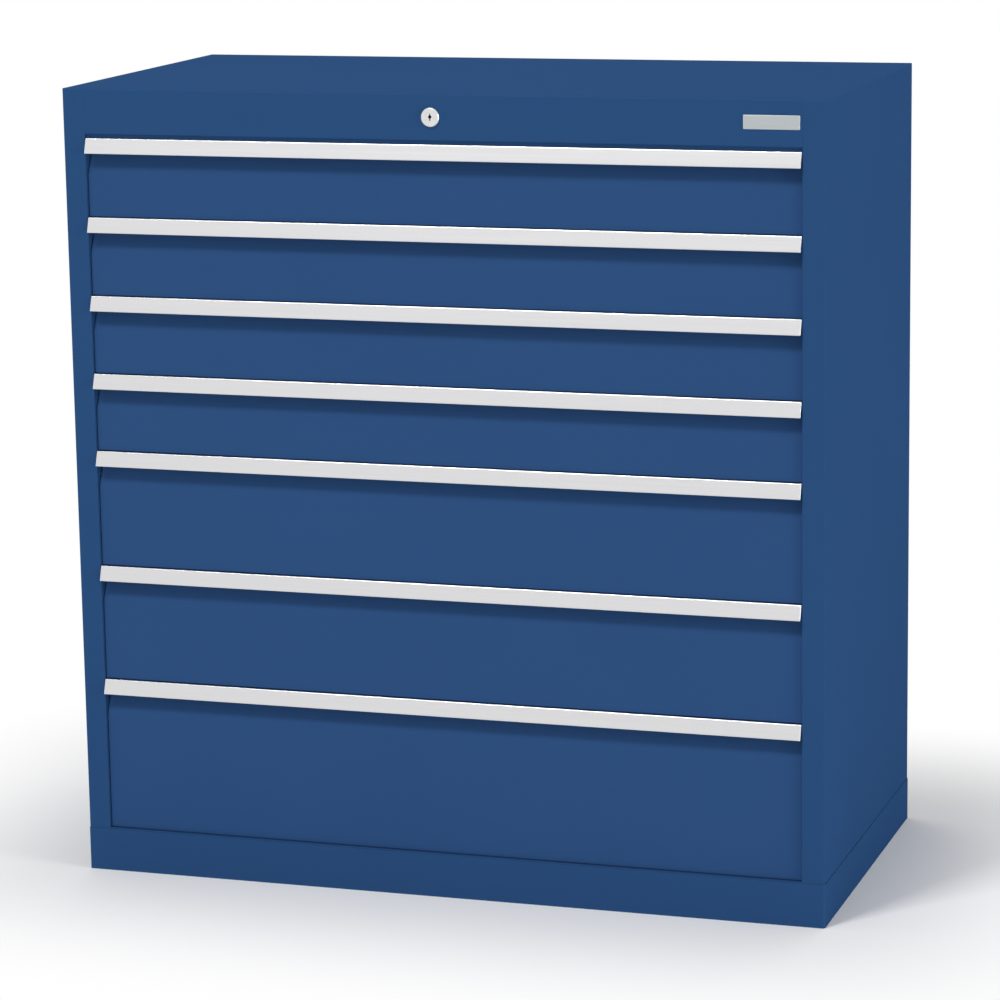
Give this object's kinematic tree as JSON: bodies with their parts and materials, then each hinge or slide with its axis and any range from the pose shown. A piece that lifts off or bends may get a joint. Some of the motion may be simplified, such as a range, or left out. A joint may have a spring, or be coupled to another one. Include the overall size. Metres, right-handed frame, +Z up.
{
  "type": "drawer cabinet",
  "caption": "Floor-standing workshop drawer cabinet of folded sheet steel: full-width drawers on telescopic runners, aluminium handle strips, plinth and one central lock.",
  "frame": {"origin": "centre of the overall outline at floor level, with every drawer closed", "axes": "+X to the cabinet's right as seen from the front, +Y from the front to the back, +Z up"},
  "size_m": [0.982, 0.507, 1.019],
  "materials": {
    "casing_paint": "fine-textured powder coat, gentian blue",
    "drawer_paint": "fine-textured powder coat, gentian blue",
    "tray_paint": "smooth powder coat, light grey",
    "anodised_aluminium": "natural anodised, satin",
    "plate_aluminium": "brushed and lacquered",
    "zinc_steel": "bright zinc plated",
    "rivet_steel": "zinc plated",
    "lock_chrome": "satin nickel-chrome"
  },
  "bodies": {
    "casing": {"side_panel_left": "casing_paint", "side_panel_right": "casing_paint", "back_panel": "casing_paint", "back_rivets": "rivet_steel", "top_panel": "casing_paint", "top_rail": "casing_paint", "base_panel": "casing_paint", "plinth_frame": "casing_paint", "uprights": "zinc_steel", "cabinet_runners_left": "zinc_steel", "cabinet_runners_right": "zinc_steel", "lock_barrel": "lock_chrome", "lock_guides": "zinc_steel", "name_plate": "plate_aluminium"},
    "lock_plug": {"lock_cylinder": "lock_chrome", "lock_cam": "zinc_steel"},
    "lock_gate": {"lock_beam": "zinc_steel", "lock_bars": "zinc_steel"},
    "drawer_1": {"drawer_1_tray": "tray_paint", "drawer_1_front": "drawer_paint", "drawer_1_handle": "anodised_aluminium", "drawer_1_fasteners": "rivet_steel", "drawer_1_runners": "zinc_steel"},
    "slide_1": {"middle_runners_1": "zinc_steel"},
    "drawer_2": {"drawer_2_tray": "tray_paint", "drawer_2_front": "drawer_paint", "drawer_2_handle": "anodised_aluminium", "drawer_2_fasteners": "rivet_steel", "drawer_2_runners": "zinc_steel"},
    "slide_2": {"middle_runners_2": "zinc_steel"},
    "drawer_3": {"drawer_3_tray": "tray_paint", "drawer_3_front": "drawer_paint", "drawer_3_handle": "anodised_aluminium", "drawer_3_fasteners": "rivet_steel", "drawer_3_runners": "zinc_steel"},
    "slide_3": {"middle_runners_3": "zinc_steel"},
    "drawer_4": {"drawer_4_tray": "tray_paint", "drawer_4_front": "drawer_paint", "drawer_4_handle": "anodised_aluminium", "drawer_4_fasteners": "rivet_steel", "drawer_4_runners": "zinc_steel"},
    "slide_4": {"middle_runners_4": "zinc_steel"},
    "drawer_5": {"drawer_5_tray": "tray_paint", "drawer_5_front": "drawer_paint", "drawer_5_handle": "anodised_aluminium", "drawer_5_fasteners": "rivet_steel", "drawer_5_runners": "zinc_steel"},
    "slide_5": {"middle_runners_5": "zinc_steel"},
    "drawer_6": {"drawer_6_tray": "tray_paint", "drawer_6_front": "drawer_paint", "drawer_6_handle": "anodised_aluminium", "drawer_6_fasteners": "rivet_steel", "drawer_6_runners": "zinc_steel"},
    "slide_6": {"middle_runners_6": "zinc_steel"},
    "drawer_7": {"drawer_7_tray": "tray_paint", "drawer_7_front": "drawer_paint", "drawer_7_handle": "anodised_aluminium", "drawer_7_fasteners": "rivet_steel", "drawer_7_runners": "zinc_steel"},
    "slide_7": {"middle_runners_7": "zinc_steel"}
  },
  "joints": [
    {"name": "lock_gate_lift", "type": "slide", "parent": "casing", "child": "lock_gate", "axis": [0, 0, 1], "range_m": [0, 0.0099]},
    {"name": "lock_turn", "type": "hinge", "parent": "casing", "child": "lock_plug", "pos_m": [-0.0024, -0.2475, 0.9905], "axis": [0, -1, 0], "range_deg": [0, 90]},
    {"name": "drawer_1_slide", "type": "slide", "parent": "casing", "child": "drawer_1", "axis": [0, -1, 0], "range_m": [0, 0.4]},
    {"name": "slide_1_travel", "type": "slide", "parent": "casing", "child": "slide_1", "axis": [0, -1, 0], "range_m": [0, 0.2]},
    {"name": "drawer_2_slide", "type": "slide", "parent": "casing", "child": "drawer_2", "axis": [0, -1, 0], "range_m": [0, 0.4]},
    {"name": "slide_2_travel", "type": "slide", "parent": "casing", "child": "slide_2", "axis": [0, -1, 0], "range_m": [0, 0.2]},
    {"name": "drawer_3_slide", "type": "slide", "parent": "casing", "child": "drawer_3", "axis": [0, -1, 0], "range_m": [0, 0.4]},
    {"name": "slide_3_travel", "type": "slide", "parent": "casing", "child": "slide_3", "axis": [0, -1, 0], "range_m": [0, 0.2]},
    {"name": "drawer_4_slide", "type": "slide", "parent": "casing", "child": "drawer_4", "axis": [0, -1, 0], "range_m": [0, 0.4]},
    {"name": "slide_4_travel", "type": "slide", "parent": "casing", "child": "slide_4", "axis": [0, -1, 0], "range_m": [0, 0.2]},
    {"name": "drawer_5_slide", "type": "slide", "parent": "casing", "child": "drawer_5", "axis": [0, -1, 0], "range_m": [0, 0.4]},
    {"name": "slide_5_travel", "type": "slide", "parent": "casing", "child": "slide_5", "axis": [0, -1, 0], "range_m": [0, 0.2]},
    {"name": "drawer_6_slide", "type": "slide", "parent": "casing", "child": "drawer_6", "axis": [0, -1, 0], "range_m": [0, 0.4]},
    {"name": "slide_6_travel", "type": "slide", "parent": "casing", "child": "slide_6", "axis": [0, -1, 0], "range_m": [0, 0.2]},
    {"name": "drawer_7_slide", "type": "slide", "parent": "casing", "child": "drawer_7", "axis": [0, -1, 0], "range_m": [0, 0.4]},
    {"name": "slide_7_travel", "type": "slide", "parent": "casing", "child": "slide_7", "axis": [0, -1, 0], "range_m": [0, 0.2]}
  ],
  "couplings": [
    {"joint": "lock_turn", "follows": "lock_gate_lift", "rad_per_m": 158},
    {"joint": "slide_1_travel", "follows": "drawer_1_slide", "ratio": 0.5},
    {"joint": "slide_2_travel", "follows": "drawer_2_slide", "ratio": 0.5},
    {"joint": "slide_3_travel", "follows": "drawer_3_slide", "ratio": 0.5},
    {"joint": "slide_4_travel", "follows": "drawer_4_slide", "ratio": 0.5},
    {"joint": "slide_5_travel", "follows": "drawer_5_slide", "ratio": 0.5},
    {"joint": "slide_6_travel", "follows": "drawer_6_slide", "ratio": 0.5},
    {"joint": "slide_7_travel", "follows": "drawer_7_slide", "ratio": 0.5}
  ]
}
